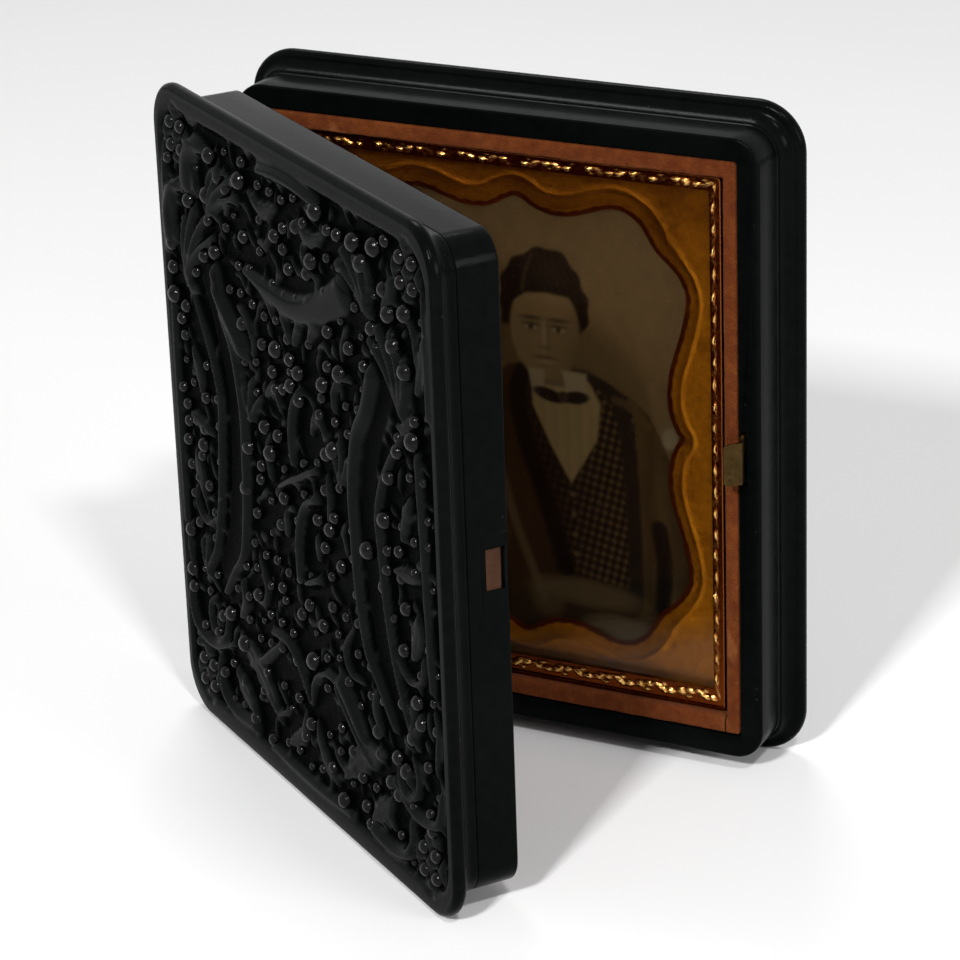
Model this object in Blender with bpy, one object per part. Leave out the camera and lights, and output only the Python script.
"""A union case: a small hinged case of moulded black thermoplastic that holds a photograph on glass.

Two leaves stand upright, part open like a book. The rear leaf is a tray with the glass packet in a velvet
retainer, and the cover has a velvet pad. Two riveted brass hinges join them at the left, and a brass spring
tongue on the rear leaf snaps behind a keeper in the cover. Each leaf is drawn closed, in leaf coordinates:
x runs across towards the free side, d is the depth from the rim into the leaf, and z is up.
"""

import math

import bmesh
import bpy
from mathutils import Matrix, Vector

# Driving sizes of a leaf, in metres
LEAF_WIDTH = 0.084
LEAF_HEIGHT = 0.095
LEAF_DEPTH = 0.0107
FLOOR_THICKNESS = 0.002
RIM_WIDTH = 0.0032
RIM_CORNER_RADIUS = 0.0043
TRAY_CORNER_RADIUS = 0.0012
RIM_EDGE_RADIUS = 0.00035
FLANGE_OVERHANG = 0.0026
FLANGE_THICKNESS = 0.0020
FLANGE_EDGE_RADIUS = 0.0009
COVE_DEPTH = 0.0026
RELIEF_HEIGHT = 0.0009
RIM_GAP = 0.0003

# Clearances
SEAT_GAP = 0.0002
RIVET_CLEARANCE = 0.0001
PIN_CLEARANCE = 0.00006
OVERRUN = 0.001

# How far the cover stands open at rest, and how far it opens before the flanges meet
REST_OPENING = math.radians(35)
FULL_OPENING = math.radians(164)

# Packet and linings of the rear leaf
RETAINER_THICKNESS = 0.0024
RETAINER_FRONT = 0.00005
RETAINER_ROUND = 0.0005
RETAINER_SLIT = 0.0003
PRESERVER_FRONT = 0.0016
PRESERVER_SHEET = 0.0003
PRESERVER_LIP = 0.0026
PRESERVER_FOLD = 0.0013
GLASS_THICKNESS = 0.0014
MAT_THICKNESS = 0.00035
PLATE_THICKNESS = 0.0016
BACKING_THICKNESS = 0.0006
LEAF_SPACING = 0.00015
PACKET_CORNER_RADIUS = 0.0006

# Opening of the mat
MAT_SIDE_BORDER = 0.0063
MAT_TOP_BORDER = 0.0056
OPENING_OFFSET = 0.001
OPENING_STEPS = 3
OPENING_SHARES = (
    (0.00, 1.00),
    (0.11, 0.96),
    (0.26, 0.935),
    (0.42, 0.965),
    (0.56, 1.00),
    (0.69, 0.965),
    (0.77, 0.90),
    (0.82, 0.83),
    (0.92, 0.78),
    (1.00, 0.69),
    (1.00, 0.58),
    (0.965, 0.43),
    (0.915, 0.29),
    (0.905, 0.16),
    (0.94, 0.06),
    (0.97, 0.00),
)

# Pad of the cover
PAD_CARD_THICKNESS = 0.0011
PAD_CROWN_DEPTH = 0.0032
PAD_EDGE_DEPTH = 0.0050
PAD_SIDE_GAP = 0.0004
PAD_SIDE_DRAW = 0.0005
PAD_ROUND = 0.0009
PAD_CORNER_RADIUS = 0.0022
PAD_RING_SHARES = (0.82, 0.6, 0.36, 0.12)

# Hinges
HINGE_OFFSET = 0.0015
HINGE_HEIGHT = 0.027
HINGE_LENGTH = 0.015
BARREL_RADIUS = 0.0013
STRAP_THICKNESS = 0.0005
STRAP_REACH = 0.0050
KNUCKLE_GAP = 0.0002
MIDDLE_KNUCKLE = 0.005
CURL_TURN = math.radians(300)
CURL_STEPS = 12
BACKING_STRAP_THICKNESS = 0.0004
HINGE_RIVET_SPREAD = 0.0085
HINGE_RIVET_DEPTH = 0.0033
RIVET_RADIUS = 0.0006
RIVET_HEAD_RADIUS = 0.0011
RIVET_HEAD_HEIGHT = 0.00045
CLINCH_HEIGHT = 0.00025

# Catch: tongue on the rear leaf, keeper in the cover
CATCH_WIDTH = 0.007
TONGUE_THICKNESS = 0.00045
TONGUE_INSET = 0.0004
TONGUE_ROOT = 0.0062
TONGUE_REACH = 0.0034
TONGUE_LEAN = 0.0016
BUMP_PROUD = 0.0004
BUMP_START = 0.0009
BUMP_END = 0.0021
KEEPER_THICKNESS = 0.0004
KEEPER_CLEARANCE = 0.0001
KEEPER_ROOT = 0.0064
KEEPER_LIP = 0.0003
BOSS_START = 0.0007
BOSS_END = 0.0030
BOSS_PROUD = 0.0008
CATCH_RIVET_DEPTH = 0.0047
CATCH_RIVET_SPREAD = 0.0038
CATCH_RIVET_HEAD = 0.0009
CATCH_RIVET_HEAD_HEIGHT = 0.00025
RIVET_SKIN = 0.0006
NOTCH_LENGTH = 0.0125
NOTCH_BITE = 0.0005
NOTCH_DEPTH = 0.0040

# Main forms of the relief on both outer faces. Their places are shares of the leaf's half width and height.
ROSETTE_RADIUS = 0.0038
ROSETTE_LOBE_SHARE = 0.22
ROSETTE_MARGIN = 0.0024
ROSETTE_STEPS = 24
RIDGE_WIDTH = 0.0016
LINE_WIDTH = 0.0009
RIDGE_SINK = 0.0006
PAIRED_RIDGE_SHARES = (
    ((0.576, 0.484), (0.536, 0.389), (0.448, 0.305), (0.414, 0.21), (0.395, 0.105), (0.4, 0.0),
     (0.41, -0.137), (0.452, -0.326), (0.583, -0.453), (0.631, -0.516)),
    ((0.729, 0.354), (0.66, 0.278), (0.6, 0.187), (0.574, 0.097), (0.586, 0.0), (0.61, -0.168),
     (0.66, -0.339), (0.745, -0.503)),
    ((0.93, -0.623), (0.864, -0.714), (0.745, -0.728), (0.593, -0.684)),
    ((0.712, -0.775), (0.693, -0.85), (0.593, -0.905), (0.455, -0.895)),
    ((0.052, -0.62), (0.107, -0.547), (0.202, -0.522), (0.286, -0.547), (0.393, -0.621)),
)
PAIRED_LINE_SHARES = (
    ((0.91, -0.34), (0.91, 0.34)),
    ((0.935, 0.745), (0.935, 0.49)),
    ((0.95, -0.41), (0.95, -0.56)),
)
SINGLE_RIDGE_SHARES = (
    ((0.045, 0.301), (-0.005, 0.248), (-0.033, 0.158), (-0.031, 0.076)),
    ((0.121, 0.091), (0.021, 0.04), (-0.15, -0.038)),
    ((0.143, -0.013), (0.033, -0.067), (-0.01, -0.147), (-0.021, -0.227)),
    ((0.121, -0.24), (0.04, -0.278)),
    ((-0.2, 0.905), (-0.1, 0.915), (0.1, 0.915), (0.2, 0.905)),
    ((-0.29, -0.92), (0.29, -0.92)),
)
LEAF_CENTRE_SHARES = (0.225, 0.59)
LEAF_OUTLINE_SHARES = (
    (-0.17, -0.03), (-0.06, -0.07), (0.08, -0.045), (0.19, 0.08), (0.04, 0.06), (-0.07, 0.0),
)
FAN_SHARES = ((0.464, 0.726), (0.679, 0.537))
FAN_HALF_WIDTH = 0.0041
FAN_HALF_HEIGHT = 0.0036
FAN_STEPS = 12

# How finely round things are drawn
CORNER_STEPS = 6
COVE_STEPS = 4
EDGE_STEPS = 3
RIVET_STEPS = 10
PIN_STEPS = 16

# Sizes worked out from those above
RIM_HALF_X = LEAF_WIDTH / 2 - FLANGE_OVERHANG
RIM_HALF_Z = LEAF_HEIGHT / 2 - FLANGE_OVERHANG
TRAY_HALF_X = RIM_HALF_X - RIM_WIDTH
TRAY_HALF_Z = RIM_HALF_Z - RIM_WIDTH
FLOOR_DEPTH = LEAF_DEPTH - FLOOR_THICKNESS
HINGE_X = -(RIM_HALF_X + HINGE_OFFSET)
CURL_RADIUS = BARREL_RADIUS - STRAP_THICKNESS
PIN_RADIUS = CURL_RADIUS - PIN_CLEARANCE
RETAINER_HALF_X = TRAY_HALF_X - SEAT_GAP
RETAINER_HALF_Z = TRAY_HALF_Z - SEAT_GAP
PRESERVER_HALF_X = RETAINER_HALF_X - RETAINER_THICKNESS - SEAT_GAP
PRESERVER_HALF_Z = RETAINER_HALF_Z - RETAINER_THICKNESS - SEAT_GAP
PACKET_HALF_X = PRESERVER_HALF_X - PRESERVER_SHEET - SEAT_GAP
PACKET_HALF_Z = PRESERVER_HALF_Z - PRESERVER_SHEET - SEAT_GAP
OPENING_HALF_WIDTH = PACKET_HALF_X - MAT_SIDE_BORDER
OPENING_HALF_HEIGHT = PACKET_HALF_Z - MAT_TOP_BORDER
TONGUE_INNER_X = TRAY_HALF_X + TONGUE_INSET
TONGUE_OUTER_X = TONGUE_INNER_X + TONGUE_THICKNESS
KEEPER_INNER_X = TONGUE_OUTER_X + BUMP_PROUD + KEEPER_CLEARANCE
KEEPER_OUTER_X = KEEPER_INNER_X + KEEPER_THICKNESS


class Leaf:
    """Carries the pieces of one leaf: their parent and the matrix from leaf coordinates to that parent."""

    def __init__(self, carrier, placement):
        self.carrier = carrier
        self.placement = placement


def clear_scene():
    for obj in list(bpy.data.objects):
        bpy.data.objects.remove(obj, do_unlink=True)


def empty(name, parent=None, location=(0, 0, 0), turn=0.0):
    obj = bpy.data.objects.new(name, None)
    bpy.context.collection.objects.link(obj)
    obj.parent = parent
    obj.location = location
    obj.rotation_euler = (0, 0, turn)
    return obj


def finish_material(name, color, roughness, metallic=0.0, transmission=0.0):
    material = bpy.data.materials.new(name)
    material.use_nodes = True
    shader = material.node_tree.nodes["Principled BSDF"]
    shader.inputs["Base Color"].default_value = (*color, 1)
    shader.inputs["Roughness"].default_value = roughness
    shader.inputs["Metallic"].default_value = metallic
    shader.inputs["Transmission Weight"].default_value = transmission
    return material


def make_object(name, bm, leaf, material, smooth_angle=math.radians(40)):
    """Puts a mesh in leaf coordinates on its leaf, closed and facing out."""
    bmesh.ops.transform(bm, matrix=leaf.placement, verts=bm.verts)
    bmesh.ops.recalc_face_normals(bm, faces=bm.faces)
    mesh = bpy.data.meshes.new(name)
    bm.to_mesh(mesh)
    bm.free()
    if material:
        mesh.materials.append(material)
    mesh.shade_smooth()
    mesh.set_sharp_from_angle(angle=smooth_angle)
    obj = bpy.data.objects.new(name, mesh)
    bpy.context.collection.objects.link(obj)
    obj.parent = leaf.carrier
    return obj


def make_cutter(name, bm, leaf):
    obj = make_object(name, bm, leaf, None)
    obj.hide_render = True
    obj.display_type = "WIRE"
    return obj


def boolean(obj, tool, operation):
    modifier = obj.modifiers.new(tool.name, "BOOLEAN")
    modifier.operation = operation
    modifier.solver = "EXACT"
    modifier.object = tool


def arc(centre, radii, start, end, steps):
    """Points of an elliptical arc, as (a, b) pairs."""
    points = []
    for step in range(steps + 1):
        angle = start + (end - start) * step / steps
        points.append((centre[0] + radii[0] * math.cos(angle), centre[1] + radii[1] * math.sin(angle)))
    return points


def rounded_rectangle(half_x, half_z, radius):
    points = []
    for corner, (side_x, side_z) in enumerate(((1, 1), (-1, 1), (-1, -1), (1, -1))):
        centre = (side_x * (half_x - radius), side_z * (half_z - radius))
        start = corner * math.pi / 2
        points += arc(centre, (radius, radius), start, start + math.pi / 2, CORNER_STEPS)
    return points


def skin(bm, rings, closed=False):
    """Extrudes the first ring of points through the others, then caps the ends or joins them."""
    verts = [bm.verts.new(point) for point in rings[0]]
    edges = [bm.edges.new(pair) for pair in zip(verts, verts[1:] + verts[:1])]
    first = verts
    if not closed:
        bm.faces.new(verts)
    for points in rings[1:] + rings[:1] if closed else rings[1:]:
        made = bmesh.ops.extrude_edge_only(bm, edges=edges)["geom"]
        fresh = {item for item in made if isinstance(item, bmesh.types.BMVert)}
        twins = []
        for vert, point in zip(verts, points):
            ends = {edge.other_vert(vert) for edge in vert.link_edges}
            twin = (ends & fresh).pop()
            twin.co = point
            twins.append(twin)
        edges = [item for item in made if isinstance(item, bmesh.types.BMEdge)]
        edges = [edge for edge in edges if fresh.issuperset(edge.verts)]
        verts = twins
    if closed:
        bmesh.ops.weld_verts(bm, targetmap=dict(zip(verts, first)))
    else:
        bm.faces.new(verts)


def loft(bm, stations, closed=False):
    """Skins rounded rectangles, each (half x, half z, radius, depth)."""
    rings = []
    for half_x, half_z, radius, depth in stations:
        rings.append([(x, depth, z) for x, z in rounded_rectangle(half_x, half_z, radius)])
    skin(bm, rings, closed)


def inset_stations(half_x, half_z, radius, profile):
    """Stations for loft from a profile of (inset, depth) points round a rectangle."""
    least = radius / CORNER_STEPS
    return [(half_x - i, half_z - i, max(radius - i, least), depth) for i, depth in profile]


def add_box(bm, low, high):
    size = [b - a for a, b in zip(low, high)]
    middle = [(a + b) / 2 for a, b in zip(low, high)]
    matrix = Matrix.Translation(middle) @ Matrix.Diagonal((*size, 1))
    bmesh.ops.create_cube(bm, size=1, matrix=matrix)


def add_turned(bm, profile, steps, matrix):
    """Spins a profile of (radius, height) points round Z. Its ends lie on the axis."""
    verts = [bm.verts.new((radius, 0, height)) for radius, height in profile]
    edges = [bm.edges.new(pair) for pair in zip(verts, verts[1:])]
    made = bmesh.ops.spin(
        bm,
        geom=verts + edges,
        cent=(0, 0, 0),
        axis=(0, 0, 1),
        angle=2 * math.pi,
        steps=steps,
        use_merge=True,
    )
    assert made["geom_last"]
    turned = {vert for edge in edges for vert in edge.verts}
    todo = list(turned)
    while todo:
        for edge in todo.pop().link_edges:
            for vert in edge.verts:
                if vert not in turned:
                    turned.add(vert)
                    todo.append(vert)
    turned = list(turned)
    bmesh.ops.remove_doubles(bm, verts=turned, dist=RIVET_CLEARANCE / RIVET_STEPS)
    turned = [vert for vert in turned if vert.is_valid]
    bmesh.ops.transform(bm, matrix=matrix, verts=turned)


def along_x(x, depth, z):
    """A matrix that lays the Z axis along +X, with its foot at the point."""
    return Matrix.Translation((x, depth, z)) @ Matrix.Rotation(math.pi / 2, 4, "Y")


def add_sheet(bm, path, bands, whole, thickness):
    """Bent sheet metal from a path of (x, depth) points on its outer side.

    The bands are z stations. Cell j between stations is metal from path point first[j] on, where whole
    gives the last path point that all cells share.
    """
    verts = {}
    for i, (x, depth) in enumerate(path):
        for j, z in enumerate(bands["z"]):
            verts[i, j] = bm.verts.new((x, depth, z))
    for i in range(len(path) - 1):
        for j, kept in enumerate(bands["finger"]):
            if i < whole or kept:
                bm.faces.new((verts[i, j], verts[i, j + 1], verts[i + 1, j + 1], verts[i + 1, j]))
    loose = [vert for vert in verts.values() if not vert.link_faces]
    bmesh.ops.delete(bm, geom=loose, context="VERTS")
    bm.normal_update()
    bmesh.ops.solidify(bm, geom=bm.faces[:], thickness=thickness)


def shell_outside():
    """The outer section from the rim to the flange's outer face, as (inset from the rim, depth)."""
    underside = LEAF_DEPTH - FLANGE_THICKNESS
    cove_width = FLANGE_OVERHANG - FLANGE_EDGE_RADIUS
    cove_centre = (-cove_width, underside - COVE_DEPTH)
    edge = (FLANGE_EDGE_RADIUS, FLANGE_EDGE_RADIUS)
    quarter = math.pi / 2
    section = [(RIM_EDGE_RADIUS, 0), (0, RIM_EDGE_RADIUS)]
    section += arc(cove_centre, (cove_width, COVE_DEPTH), 0, quarter, COVE_STEPS)
    lower = (-cove_width, underside + FLANGE_EDGE_RADIUS)
    upper = (-cove_width, LEAF_DEPTH - FLANGE_EDGE_RADIUS)
    section += arc(lower, edge, -quarter, -2 * quarter, EDGE_STEPS)[1:]
    section += arc(upper, edge, 2 * quarter, quarter, EDGE_STEPS)
    return section


def shell_mesh():
    bm = bmesh.new()
    stations = [
        (TRAY_HALF_X, TRAY_HALF_Z, TRAY_CORNER_RADIUS, FLOOR_DEPTH),
        (TRAY_HALF_X, TRAY_HALF_Z, TRAY_CORNER_RADIUS, 0),
    ]
    stations += inset_stations(RIM_HALF_X, RIM_HALF_Z, RIM_CORNER_RADIUS, shell_outside())
    loft(bm, stations)
    return bm


def add_ridge(bm, path, width):
    """A rounded ridge along a path of (x, z) points on the outer face, with half-size ends."""
    section_shares = ((-0.5, 0), (-0.36, 0.6), (0, 1), (0.36, 0.6), (0.5, 0))
    rings = []
    for i, (x, z) in enumerate(path):
        before = Vector(path[max(i - 1, 0)])
        after = Vector(path[min(i + 1, len(path) - 1)])
        along = (after - before).normalized()
        scale = 0.5 if i in (0, len(path) - 1) else 1.0
        ring = []
        for side, rise in section_shares:
            depth = LEAF_DEPTH + rise * RELIEF_HEIGHT * scale
            if rise == 0:
                depth -= RIDGE_SINK
            offset = side * width * scale
            ring.append((x - along.y * offset, depth, z + along.x * offset))
        rings.append(ring)
    skin(bm, rings)


def add_boss(bm, outline, centre, shares):
    """A raised form: an outline of (x, z) points round a centre, drawn in by a share at each rise."""
    rings = []
    for scale, rise in shares:
        depth = LEAF_DEPTH + rise * RELIEF_HEIGHT
        if rise == 0:
            depth -= RIDGE_SINK
        rings.append([(centre[0] + scale * x, depth, centre[1] + scale * z) for x, z in outline])
    skin(bm, rings)


def on_face(shares, side=1):
    """Turns a path given as shares of the leaf's half size into (x, z) points."""
    return [(side * x * LEAF_WIDTH / 2, z * LEAF_HEIGHT / 2) for x, z in shares]


def relief_mesh():
    """Corner rosettes, scroll bands, curls, twigs, leaves and border lines."""
    bm = bmesh.new()
    lobed = []
    for step in range(ROSETTE_STEPS):
        angle = 2 * math.pi * step / ROSETTE_STEPS
        radius = ROSETTE_RADIUS * (1 + ROSETTE_LOBE_SHARE * math.cos(4 * angle)) / (1 + ROSETTE_LOBE_SHARE)
        lobed.append((radius * math.cos(angle), radius * math.sin(angle)))
    fan = arc((0, 0), (FAN_HALF_WIDTH, FAN_HALF_HEIGHT), 0, 2 * math.pi, FAN_STEPS)[:-1]
    rosette_x = LEAF_WIDTH / 2 - ROSETTE_MARGIN - ROSETTE_RADIUS
    rosette_z = LEAF_HEIGHT / 2 - ROSETTE_MARGIN - ROSETTE_RADIUS
    for side in (-1, 1):
        for half in (-1, 1):
            add_boss(bm, lobed, (side * rosette_x, half * rosette_z), ((1, 0), (0.8, 0.7), (0.3, 1)))
        for centre in on_face(FAN_SHARES, side):
            add_boss(bm, fan, centre, ((1, 0), (0.85, 0.6), (0.5, 1)))
        leaf_centre = on_face([LEAF_CENTRE_SHARES], side)[0]
        add_boss(bm, on_face(LEAF_OUTLINE_SHARES, side), leaf_centre, ((1, 0), (0.85, 0.6), (0.45, 0.9)))
        for shares in PAIRED_RIDGE_SHARES:
            add_ridge(bm, on_face(shares, side), RIDGE_WIDTH)
        for shares in PAIRED_LINE_SHARES:
            add_ridge(bm, on_face(shares, side), LINE_WIDTH)
    for shares in SINGLE_RIDGE_SHARES:
        add_ridge(bm, on_face(shares), RIDGE_WIDTH)
    return bm


def hinge_centres():
    return (("upper", HINGE_HEIGHT), ("lower", -HINGE_HEIGHT))


def hinge_rivet_heights(middle):
    return (middle + HINGE_RIVET_SPREAD / 2, middle - HINGE_RIVET_SPREAD / 2)


def pocket_cutter(leaf, name, catch_depth, catch_outer):
    """Recesses inside the walls: two for the hinges' backing straps, and one for the catch."""
    bm = bmesh.new()
    low_x = -(TRAY_HALF_X + BACKING_STRAP_THICKNESS + CLINCH_HEIGHT + 2 * SEAT_GAP)
    half = HINGE_LENGTH / 2 + SEAT_GAP
    for _, middle in hinge_centres():
        add_box(
            bm,
            (low_x, HINGE_RIVET_DEPTH - STRAP_REACH / 3, middle - half),
            (-TRAY_HALF_X + OVERRUN, HINGE_RIVET_DEPTH + STRAP_REACH / 3, middle + half),
        )
    half = CATCH_WIDTH / 2 + 2 * SEAT_GAP
    add_box(bm, (TRAY_HALF_X - OVERRUN, -OVERRUN, -half), (catch_outer, catch_depth, half))
    return make_cutter(name, bm, leaf)


def hole_cutter(leaf, name, catch_start):
    """Holes for the hinge rivets, right through the wall, and blind ones for the catch."""
    bm = bmesh.new()
    radius = RIVET_RADIUS + RIVET_CLEARANCE
    length = RIM_WIDTH + 2 * STRAP_THICKNESS + 2 * OVERRUN
    profile = ((0, 0), (radius, 0), (radius, length), (0, length))
    start = -(RIM_HALF_X + 2 * STRAP_THICKNESS + OVERRUN)
    for _, middle in hinge_centres():
        for z in hinge_rivet_heights(middle):
            add_turned(bm, profile, RIVET_STEPS, along_x(start, HINGE_RIVET_DEPTH, z))
    end = RIM_HALF_X - RIVET_SKIN - catch_start
    profile = ((0, -SEAT_GAP), (radius, -SEAT_GAP), (radius, end), (0, end))
    for z in (-CATCH_RIVET_SPREAD / 2, CATCH_RIVET_SPREAD / 2):
        add_turned(bm, profile, RIVET_STEPS, along_x(catch_start, CATCH_RIVET_DEPTH, z))
    return make_cutter(name, bm, leaf)


def notch_cutter(leaf):
    """The shallow thumb notch in the cover's free wall, a slice of a large cylinder."""
    radius = (NOTCH_LENGTH * NOTCH_LENGTH / 4 + NOTCH_BITE * NOTCH_BITE) / (2 * NOTCH_BITE)
    half_angle = math.asin(NOTCH_LENGTH / 2 / radius) * 1.5
    centre_x = RIM_HALF_X - NOTCH_BITE + radius
    steps = 2 * CORNER_STEPS
    points = arc((centre_x, 0), (radius, radius), math.pi - half_angle, math.pi + half_angle, steps)
    points.append((RIM_HALF_X + OVERRUN, points[-1][1]))
    points.append((RIM_HALF_X + OVERRUN, points[0][1]))
    bm = bmesh.new()
    face = bm.faces.new([bm.verts.new((x, -OVERRUN, z)) for x, z in points])
    made = bmesh.ops.extrude_face_region(bm, geom=[face])["geom"]
    moved = [item for item in made if isinstance(item, bmesh.types.BMVert)]
    bmesh.ops.translate(bm, verts=moved, vec=(0, OVERRUN + NOTCH_DEPTH, 0))
    return make_cutter("thumb_notch_cutter", bm, leaf)


def window_cutter(leaf):
    """The window in the notch that shows the keeper's boss."""
    bm = bmesh.new()
    half = CATCH_WIDTH / 2 + SEAT_GAP
    add_box(
        bm,
        (KEEPER_INNER_X, BOSS_START - SEAT_GAP, -half),
        (RIM_HALF_X + OVERRUN, BOSS_END + SEAT_GAP, half),
    )
    return make_cutter("keeper_window_cutter", bm, leaf)


def build_shell(name, leaf, plastic, catch_depth, catch_outer, catch_start):
    shell = make_object(name, shell_mesh(), leaf, plastic)
    boolean(shell, make_cutter(name + "_relief", relief_mesh(), leaf), "UNION")
    boolean(shell, pocket_cutter(leaf, name + "_pockets", catch_depth, catch_outer), "DIFFERENCE")
    holes = hole_cutter(leaf, name + "_holes", catch_start)
    boolean(shell, holes, "DIFFERENCE")
    return shell, holes


def slab(name, leaf, material, half_x, half_z, radius, depth, thickness):
    bm = bmesh.new()
    loft(bm, [(half_x, half_z, radius, depth), (half_x, half_z, radius, depth + thickness)])
    return make_object(name, bm, leaf, material)


def ring(name, leaf, material, half_x, half_z, radius, profile):
    bm = bmesh.new()
    loft(bm, inset_stations(half_x, half_z, radius, profile), closed=True)
    return make_object(name, bm, leaf, material)


def build_retainer(leaf, velvet):
    """The velvet strip inside the walls. Its two ends meet at the bottom right corner."""
    back = FLOOR_DEPTH - SEAT_GAP
    front = RETAINER_FRONT
    profile = [
        (0, back),
        (0, front + RETAINER_ROUND),
        (RETAINER_ROUND, front),
        (RETAINER_THICKNESS - RETAINER_ROUND, front),
        (RETAINER_THICKNESS, front + RETAINER_ROUND),
        (RETAINER_THICKNESS, back),
    ]
    radius = TRAY_CORNER_RADIUS - SEAT_GAP
    retainer = ring("velvet_retainer", leaf, velvet, RETAINER_HALF_X, RETAINER_HALF_Z, radius, profile)
    inner_x = RETAINER_HALF_X - RETAINER_THICKNESS
    inner_z = RETAINER_HALF_Z - RETAINER_THICKNESS
    bm = bmesh.new()
    add_box(
        bm,
        (inner_x - RETAINER_SLIT, -OVERRUN, -(RETAINER_HALF_Z + OVERRUN)),
        (inner_x, FLOOR_DEPTH + OVERRUN, -(inner_z - OVERRUN)),
    )
    boolean(retainer, make_cutter("retainer_slit_cutter", bm, leaf), "DIFFERENCE")


def opening_points():
    """The mat's scalloped opening, the quadrant's points smoothed and mirrored twice, as (x, z)."""
    shares = list(OPENING_SHARES)
    quadrant = []
    for i in range(len(shares) - 1):
        p1, p2 = Vector(shares[i]), Vector(shares[i + 1])
        p0 = Vector(shares[i - 1]) if i else Vector((-p2.x, p2.y))
        last = i + 2 == len(shares)
        p3 = Vector((p1.x, -p1.y)) if last else Vector(shares[i + 2])
        for step in range(OPENING_STEPS):
            t = step / OPENING_STEPS
            point = p1 * 2 + (p2 - p0) * t + (p0 * 2 - p1 * 5 + p2 * 4 - p3) * t * t
            point += (p1 * 3 - p0 - p2 * 3 + p3) * t ** 3
            quadrant.append((point.x / 2, point.y / 2))
    right = quadrant + [shares[-1]] + [(x, -z) for x, z in reversed(quadrant[1:])]
    left = [(-x, -z) for x, z in quadrant]
    left += [(-shares[-1][0], 0)] + [(-x, z) for x, z in reversed(quadrant[1:])]
    outline = right + left
    return [(OPENING_OFFSET + x * OPENING_HALF_WIDTH, z * OPENING_HALF_HEIGHT) for x, z in outline]


def build_packet(leaf, finishes):
    """Glass, mat, picture plate and black card in their folded brass frame, on a packing card."""
    lip, fold, sheet = PRESERVER_LIP, PRESERVER_FOLD, PRESERVER_SHEET
    glass_depth = PRESERVER_FRONT + sheet + SEAT_GAP
    mat_depth = glass_depth + GLASS_THICKNESS + LEAF_SPACING
    plate_depth = mat_depth + MAT_THICKNESS + LEAF_SPACING
    backing_depth = plate_depth + PLATE_THICKNESS + LEAF_SPACING
    back = backing_depth + BACKING_THICKNESS + SEAT_GAP + sheet
    card_depth = back + SEAT_GAP
    packet = (PACKET_HALF_X, PACKET_HALF_Z, PACKET_CORNER_RADIUS)
    slab("cover_glass", leaf, finishes["glass"], *packet, glass_depth, GLASS_THICKNESS)
    slab("image_plate", leaf, finishes["picture"], *packet, plate_depth, PLATE_THICKNESS)
    slab("black_backing", leaf, finishes["black_card"], *packet, backing_depth, BACKING_THICKNESS)
    slab(
        "packing_card",
        leaf,
        finishes["card"],
        PRESERVER_HALF_X,
        PRESERVER_HALF_Z,
        PACKET_CORNER_RADIUS,
        card_depth,
        FLOOR_DEPTH - SEAT_GAP - card_depth,
    )
    profile = [
        (0, back),
        (0, PRESERVER_FRONT),
        (lip, PRESERVER_FRONT),
        (lip, PRESERVER_FRONT + sheet),
        (sheet, PRESERVER_FRONT + sheet),
        (sheet, back - sheet),
        (fold, back - sheet),
        (fold, back),
    ]
    frame = (PRESERVER_HALF_X, PRESERVER_HALF_Z, PACKET_CORNER_RADIUS + sheet + SEAT_GAP)
    ring("brass_preserver", leaf, finishes["preserver"], *frame, profile)
    mat = slab("brass_mat", leaf, finishes["mat"], *packet, mat_depth, MAT_THICKNESS)
    bm = bmesh.new()
    face = bm.faces.new([bm.verts.new((x, mat_depth - OVERRUN, z)) for x, z in opening_points()])
    made = bmesh.ops.extrude_face_region(bm, geom=[face])["geom"]
    moved = [item for item in made if isinstance(item, bmesh.types.BMVert)]
    bmesh.ops.translate(bm, verts=moved, vec=(0, MAT_THICKNESS + 2 * OVERRUN, 0))
    boolean(mat, make_cutter("mat_opening_cutter", bm, leaf), "DIFFERENCE")


def build_pad(leaf, velvet, card):
    """A crowned pad whose sides draw in between its corners, on its card."""
    card_depth = FLOOR_DEPTH - SEAT_GAP - PAD_CARD_THICKNESS
    half_x = TRAY_HALF_X - PAD_SIDE_GAP
    half_z = TRAY_HALF_Z - PAD_SIDE_GAP
    radius = PAD_CORNER_RADIUS
    slab("pad_card", leaf, card, half_x, half_z, radius, card_depth, PAD_CARD_THICKNESS)
    back = card_depth - SEAT_GAP
    draw = PAD_SIDE_DRAW
    stations = [
        (half_x - draw, half_z - draw, radius, back),
        (half_x, half_z, radius, (back + PAD_EDGE_DEPTH) / 2),
        (half_x - draw / 2, half_z - draw / 2, radius, PAD_EDGE_DEPTH),
    ]
    rise = PAD_EDGE_DEPTH - PAD_CROWN_DEPTH
    stations.append((half_x - PAD_ROUND, half_z - PAD_ROUND, radius, PAD_EDGE_DEPTH - rise / 3))
    for share in PAD_RING_SHARES:
        depth = PAD_CROWN_DEPTH + rise * share * share * 2 / 3
        stations.append((half_x * share, half_z * share, radius * share, depth))
    bm = bmesh.new()
    loft(bm, stations)
    pulled_x = half_x - draw
    pulled_z = half_z - draw
    for vert in bm.verts:
        share_x = vert.co.x / half_x
        share_z = vert.co.z / half_z
        if abs(share_x) > pulled_x / half_x - draw / half_x and vert.co.y > PAD_EDGE_DEPTH - rise / 2:
            vert.co.x -= math.copysign(draw * (1 - share_z * share_z), vert.co.x)
        if abs(share_z) > pulled_z / half_z - draw / half_z and vert.co.y > PAD_EDGE_DEPTH - rise / 2:
            vert.co.z -= math.copysign(draw * (1 - share_x * share_x), vert.co.z)
    make_object("velvet_pad", bm, leaf, velvet, math.radians(60))


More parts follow.
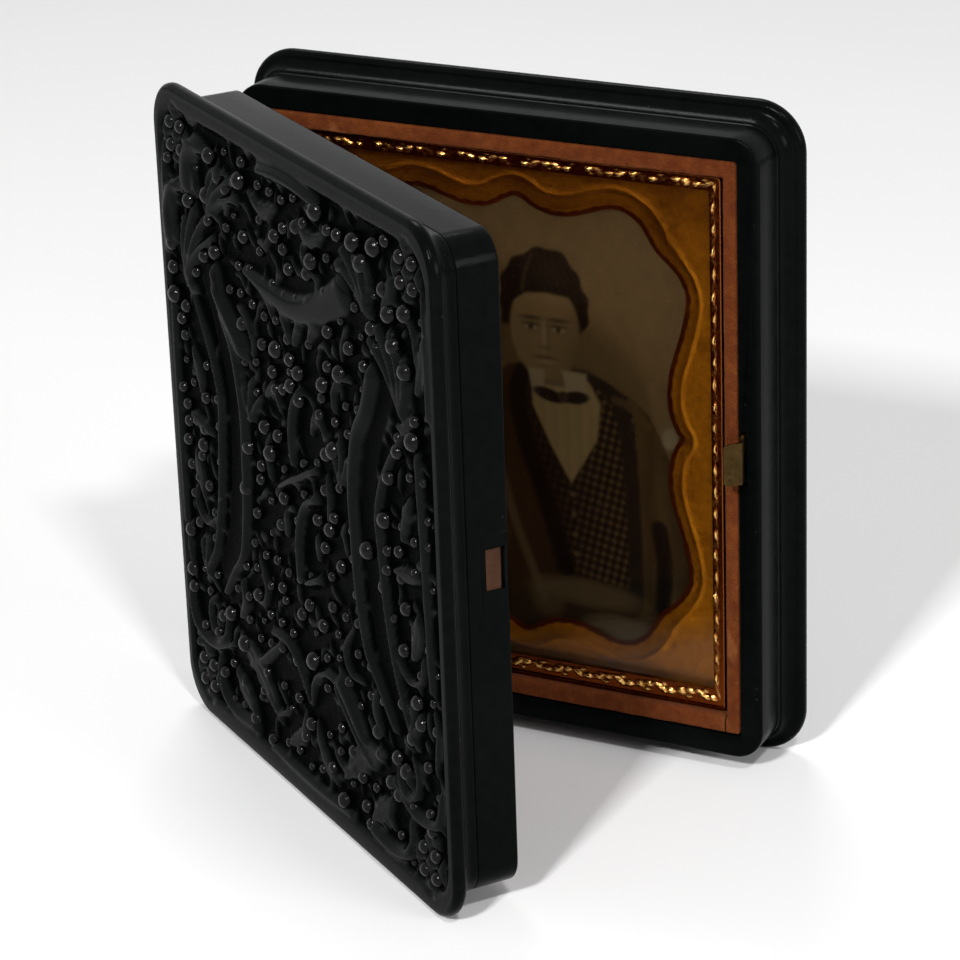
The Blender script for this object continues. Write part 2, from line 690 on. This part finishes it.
def strap_path():
    """The outer side of a strap from its free end to the barrel and round the pin, as (x, depth)."""
    axis_depth = -RIM_GAP / 2
    outer_x = HINGE_X + BARREL_RADIUS
    root = axis_depth + BARREL_RADIUS + STRAP_THICKNESS
    path = [(outer_x, axis_depth + STRAP_REACH), (outer_x, root)]
    path += arc((HINGE_X, axis_depth), (BARREL_RADIUS, BARREL_RADIUS), 0, -CURL_TURN, CURL_STEPS)
    return path


def build_strap(name, leaf, brass, middle, fingers, holes):
    side = HINGE_LENGTH / 2
    inner = MIDDLE_KNUCKLE / 2
    if fingers == "outer":
        inner += KNUCKLE_GAP
    stations = [middle - side, middle - inner, middle + inner, middle + side]
    kept = (True, False, True) if fingers == "outer" else (False, True, False)
    bm = bmesh.new()
    add_sheet(bm, strap_path(), {"z": stations, "finger": kept}, 1, STRAP_THICKNESS)
    strap = make_object(name, bm, leaf, brass)
    boolean(strap, holes, "DIFFERENCE")


def build_backing(name, leaf, brass, middle, holes):
    outer_x = -(TRAY_HALF_X + CLINCH_HEIGHT + SEAT_GAP)
    depth = HINGE_RIVET_DEPTH
    reach = STRAP_REACH / 3 - SEAT_GAP
    bm = bmesh.new()
    add_box(
        bm,
        (outer_x - BACKING_STRAP_THICKNESS, depth - reach, middle - HINGE_LENGTH / 2),
        (outer_x, depth + reach, middle + HINGE_LENGTH / 2),
    )
    boolean(make_object(name, bm, leaf, brass), holes, "DIFFERENCE")


def build_hinge_rivet(name, leaf, brass, z):
    """Dome head on the strap, shank through the wall, clinched on the backing strap."""
    strap_x = HINGE_X + BARREL_RADIUS - STRAP_THICKNESS
    head = strap_x - SEAT_GAP / 2
    end = -TRAY_HALF_X - CLINCH_HEIGHT - SEAT_GAP / 2
    length = end - head
    profile = [(0, -RIVET_HEAD_HEIGHT), (RIVET_HEAD_RADIUS * 0.6, -RIVET_HEAD_HEIGHT * 0.8)]
    profile += [(RIVET_HEAD_RADIUS, 0), (RIVET_RADIUS, 0), (RIVET_RADIUS, length)]
    end = length + CLINCH_HEIGHT
    profile += [(RIVET_HEAD_RADIUS, length), (RIVET_HEAD_RADIUS, end), (0, end)]
    bm = bmesh.new()
    add_turned(bm, profile, RIVET_STEPS, along_x(head, HINGE_RIVET_DEPTH, z))
    make_object(name, bm, leaf, brass)


def build_hinge(label, middle, rear, cover, brass, rear_holes, cover_holes):
    build_strap(label + "_hinge_rear_strap", rear, brass, middle, "outer", rear_holes)
    build_strap(label + "_hinge_cover_strap", cover, brass, middle, "middle", cover_holes)
    build_backing(label + "_hinge_rear_backing", rear, brass, middle, rear_holes)
    build_backing(label + "_hinge_cover_backing", cover, brass, middle, cover_holes)
    for number, z in enumerate(hinge_rivet_heights(middle), 1):
        build_hinge_rivet(f"{label}_hinge_rear_rivet_{number}", rear, brass, z)
        build_hinge_rivet(f"{label}_hinge_cover_rivet_{number}", cover, brass, z)
    half = HINGE_LENGTH / 2
    profile = ((0, -half), (PIN_RADIUS, -half), (PIN_RADIUS, half), (0, half))
    bm = bmesh.new()
    add_turned(bm, profile, PIN_STEPS, Matrix.Translation((HINGE_X, -RIM_GAP / 2, middle)))
    make_object(label + "_hinge_pin", bm, rear, brass)


def build_tongue(leaf, rear, brass, holes):
    """The spring tongue: a flat root in its pocket, a ridge that snaps, and a tip that leans in."""
    outer = TONGUE_OUTER_X
    path = [
        (outer, TONGUE_ROOT),
        (outer, -BUMP_START / 2),
        (outer + BUMP_PROUD, -(BUMP_START + BUMP_END) / 2),
        (outer, -BUMP_END),
        (outer - TONGUE_LEAN / 2, -(BUMP_END + TONGUE_REACH) / 2),
        (outer - TONGUE_LEAN, -TONGUE_REACH),
    ]
    half = CATCH_WIDTH / 2
    bm = bmesh.new()
    add_sheet(bm, path, {"z": [-half, half], "finger": (True,)}, len(path), TONGUE_THICKNESS)
    tongue = make_object("catch_tongue", bm, leaf, brass)
    boolean(tongue, holes, "DIFFERENCE")
    build_catch_rivets("catch_rivet", rear, brass, TONGUE_INNER_X)


def build_keeper(leaf, brass, holes):
    """The keeper: a flat root in its pocket, the boss that shows in the notch, and a lip at the rim."""
    outer = KEEPER_OUTER_X
    proud = outer + BOSS_PROUD
    step = KEEPER_THICKNESS
    path = [
        (outer, KEEPER_ROOT),
        (outer, BOSS_END + step / 2),
        (proud, BOSS_END),
        (proud, BOSS_START + step / 2),
        (outer, BOSS_START),
        (outer, KEEPER_LIP),
    ]
    half = CATCH_WIDTH / 2
    bm = bmesh.new()
    add_sheet(bm, path, {"z": [-half, half], "finger": (True,)}, len(path), KEEPER_THICKNESS)
    boolean(make_object("keeper_plate", bm, leaf, brass), holes, "DIFFERENCE")
    build_catch_rivets("keeper_rivet", leaf, brass, KEEPER_INNER_X)


def build_catch_rivets(name, leaf, brass, seat_x):
    """Blind rivets: a low head inside the leaf and a shank that ends short of the wall's outer face."""
    head = seat_x - SEAT_GAP / 2
    length = RIM_HALF_X - RIVET_SKIN - RIVET_CLEARANCE - head
    profile = [(0, -CATCH_RIVET_HEAD_HEIGHT), (CATCH_RIVET_HEAD * 0.7, -CATCH_RIVET_HEAD_HEIGHT)]
    profile += [(CATCH_RIVET_HEAD, 0), (RIVET_RADIUS, 0), (RIVET_RADIUS, length), (0, length)]
    for label, z in (("upper", CATCH_RIVET_SPREAD / 2), ("lower", -CATCH_RIVET_SPREAD / 2)):
        bm = bmesh.new()
        add_turned(bm, profile, RIVET_STEPS, along_x(head, CATCH_RIVET_DEPTH, z))
        make_object(f"{name}_{label}", bm, leaf, brass)


def stand_on_floor(root):
    """Moves the root so that the middle of the whole part's base is the origin."""
    bpy.context.view_layer.update()
    graph = bpy.context.evaluated_depsgraph_get()
    low = Vector((math.inf,) * 3)
    high = -low
    for obj in bpy.data.objects:
        if obj.type != "MESH" or obj.hide_render:
            continue
        evaluated = obj.evaluated_get(graph)
        for vert in evaluated.data.vertices:
            point = evaluated.matrix_world @ vert.co
            low = Vector(map(min, low, point))
            high = Vector(map(max, high, point))
    middle = (low + high) / 2
    root.location -= Vector((middle.x, middle.y, low.z))
    bpy.context.view_layer.update()
    print("size mm", [round(1000 * side, 2) for side in high - low])


def main():
    clear_scene()
    finishes = {
        "plastic": finish_material("black_thermoplastic", (0.012, 0.012, 0.013), 0.22),
        "velvet": finish_material("red_brown_velvet", (0.27, 0.075, 0.035), 0.9),
        "brass": finish_material("aged_brass", (0.42, 0.31, 0.15), 0.4, 1.0),
        "preserver": finish_material("gilt_brass_foil", (0.62, 0.36, 0.08), 0.28, 1.0),
        "mat": finish_material("gilt_brass_mat", (0.55, 0.30, 0.06), 0.4, 1.0),
        "glass": finish_material("clear_glass", (0.9, 0.92, 0.9), 0.03, 0.0, 1.0),
        "picture": finish_material("glass_picture", (0.11, 0.085, 0.06), 0.3),
        "black_card": finish_material("black_card", (0.02, 0.02, 0.02), 0.8),
        "card": finish_material("pasteboard", (0.36, 0.29, 0.2), 0.85),
    }
    root = empty("case_origin")
    rim_shift = Matrix.Translation((0, RIM_GAP / 2, 0))
    rear = Leaf(root, rim_shift)
    cover_axis = empty("cover_axis", root, (HINGE_X, 0, 0), -REST_OPENING)
    mirror = Matrix.Diagonal((1, -1, 1, 1))
    cover = Leaf(cover_axis, Matrix.Translation((-HINGE_X, 0, 0)) @ mirror @ rim_shift)
    flex = Vector(((TONGUE_INNER_X + TONGUE_OUTER_X) / 2, CATCH_RIVET_DEPTH + RIM_GAP / 2, 0))
    catch_axis = empty("catch_axis", root, flex)
    catch = Leaf(catch_axis, Matrix.Translation(-flex) @ rim_shift)

    rear_pocket = TONGUE_OUTER_X + SEAT_GAP
    cover_pocket = KEEPER_OUTER_X + SEAT_GAP
    _, rear_holes = build_shell(
        "rear_shell", rear, finishes["plastic"], TONGUE_ROOT + SEAT_GAP, rear_pocket, TONGUE_INNER_X
    )
    cover_shell, cover_holes = build_shell(
        "cover_shell", cover, finishes["plastic"], KEEPER_ROOT + SEAT_GAP, cover_pocket, KEEPER_INNER_X
    )
    boolean(cover_shell, notch_cutter(cover), "DIFFERENCE")
    boolean(cover_shell, window_cutter(cover), "DIFFERENCE")
    build_retainer(rear, finishes["velvet"])
    build_packet(rear, finishes)
    build_pad(cover, finishes["velvet"], finishes["card"])
    for label, middle in hinge_centres():
        build_hinge(label, middle, rear, cover, finishes["brass"], rear_holes, cover_holes)
    build_tongue(catch, rear, finishes["brass"], rear_holes)
    build_keeper(cover, finishes["brass"], cover_holes)
    stand_on_floor(root)
    print("cover axis", [round(value, 6) for value in cover_axis.matrix_world.translation])
    print("catch axis", [round(value, 6) for value in catch_axis.matrix_world.translation])


main()
